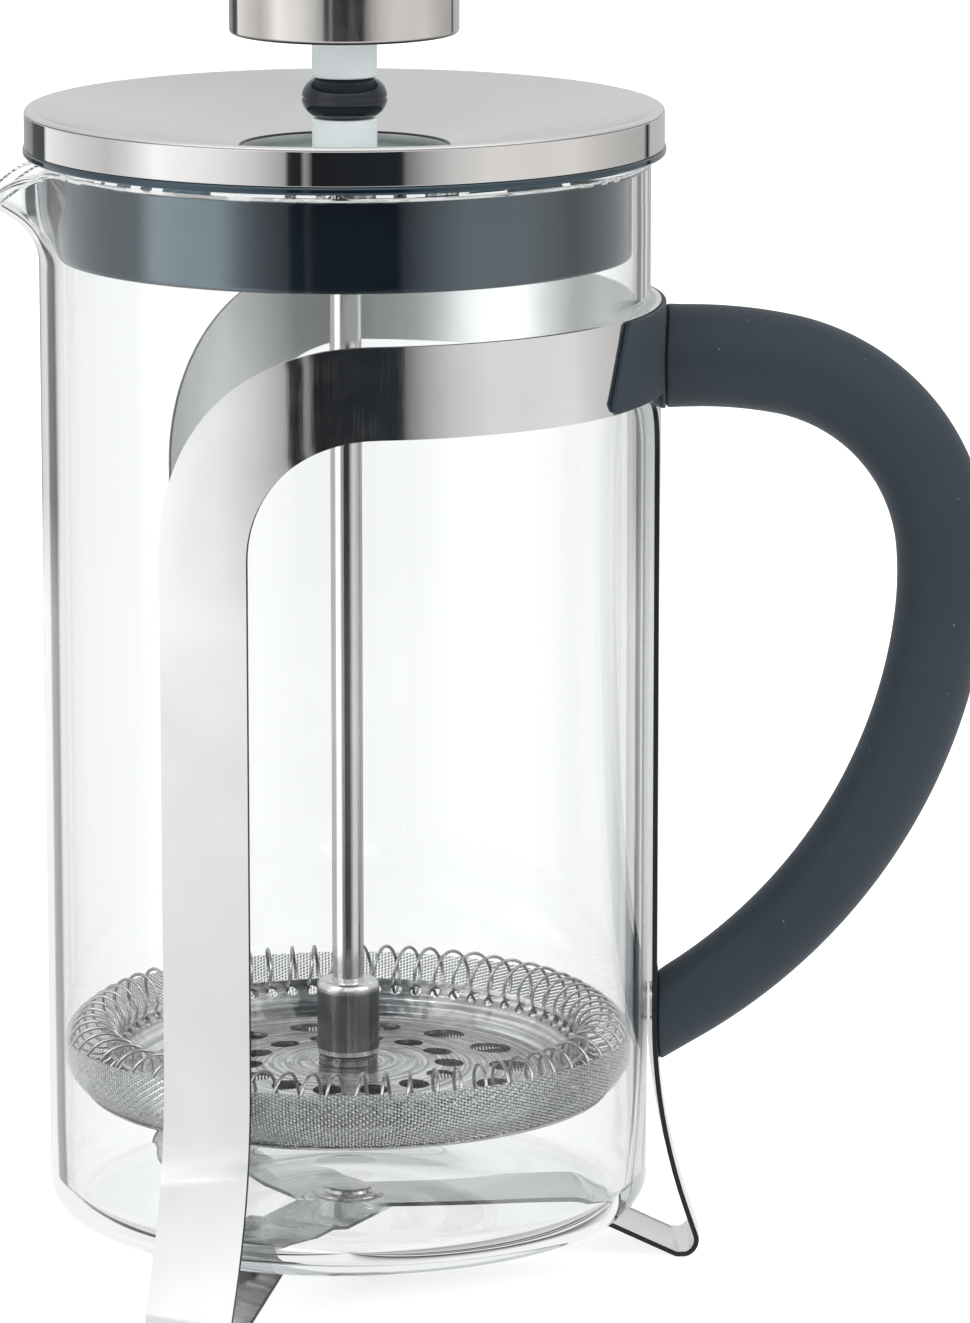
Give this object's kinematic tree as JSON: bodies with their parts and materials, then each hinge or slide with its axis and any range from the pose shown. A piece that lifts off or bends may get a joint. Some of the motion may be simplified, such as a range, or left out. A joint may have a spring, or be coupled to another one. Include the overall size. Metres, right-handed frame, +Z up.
{
  "type": "french press",
  "caption": "Coffee plunger with a clear glass beaker in a steel three-legged cradle, black D-shaped side handle, steel lid, round knob and a sprung mesh filter.",
  "frame": {"origin": "middle of the bounding box at the surface that the feet stand on", "axes": "+Z up along the beaker, +X towards the handle, -X towards the pouring lip, -Y towards the front seen in the picture"},
  "size_m": [0.1596, 0.1064, 0.221],
  "materials": {
    "mirror_steel": "bright rolled stainless sheet",
    "satin_steel": "satin stainless",
    "soft_touch_black": "matte soft touch",
    "clear_glass": "clear borosilicate",
    "black_plastic": "glossy moulded",
    "white_plastic": "slightly translucent white",
    "black_rubber": "glossy rubber",
    "woven_mesh": "fine woven stainless screen",
    "spring_wire": "bright drawn wire",
    "brass": "machined"
  },
  "bodies": {
    "frame": {"cradle": "mirror_steel", "base_rivet": "satin_steel", "handle_grip": "soft_touch_black", "handle_collar": "soft_touch_black", "upper_handle_insert": "brass", "lower_handle_insert": "brass", "upper_handle_screw": "satin_steel", "lower_handle_screw": "satin_steel"},
    "beaker": {"glass_beaker": "clear_glass"},
    "guide": {"lid_bushing": "white_plastic", "bushing_clip": "satin_steel"},
    "lid": {"lid_cover": "mirror_steel", "lid_liner": "black_plastic"},
    "plunger": {"plunger_rod": "mirror_steel", "rod_hub": "satin_steel", "bumper_ring": "black_rubber", "spiral_plate": "satin_steel", "filter_spring": "spring_wire", "mesh_screen": "woven_mesh"},
    "knob": {"knob_shell": "mirror_steel", "knob_core": "white_plastic", "knob_insert": "brass"},
    "cross_plate": {"cross_plate": "satin_steel"}
  },
  "joints": [
    {"name": "beaker_lift", "type": "slide", "parent": "frame", "child": "beaker", "axis": [0, 0, 1], "range_m": [0, 0.155]},
    {"name": "lid_lift", "type": "slide", "parent": "beaker", "child": "guide", "axis": [0, 0, 1], "range_m": [0, 0.165]},
    {"name": "lid_turn", "type": "hinge", "parent": "guide", "child": "lid", "pos_m": [-0.0225, 0, 0.18], "axis": [0, 0, 1], "continuous": true},
    {"name": "plunger_slide", "type": "slide", "parent": "guide", "child": "plunger", "axis": [0, 0, 1], "range_m": [0, 0.12]},
    {"name": "knob_turn", "type": "hinge", "parent": "plunger", "child": "knob", "pos_m": [-0.0225, 0, 0.2], "axis": [0, 0, 1], "continuous": true},
    {"name": "cross_plate_turn", "type": "hinge", "parent": "plunger", "child": "cross_plate", "pos_m": [-0.0225, 0, 0.028], "axis": [0, 0, 1], "continuous": true}
  ]
}
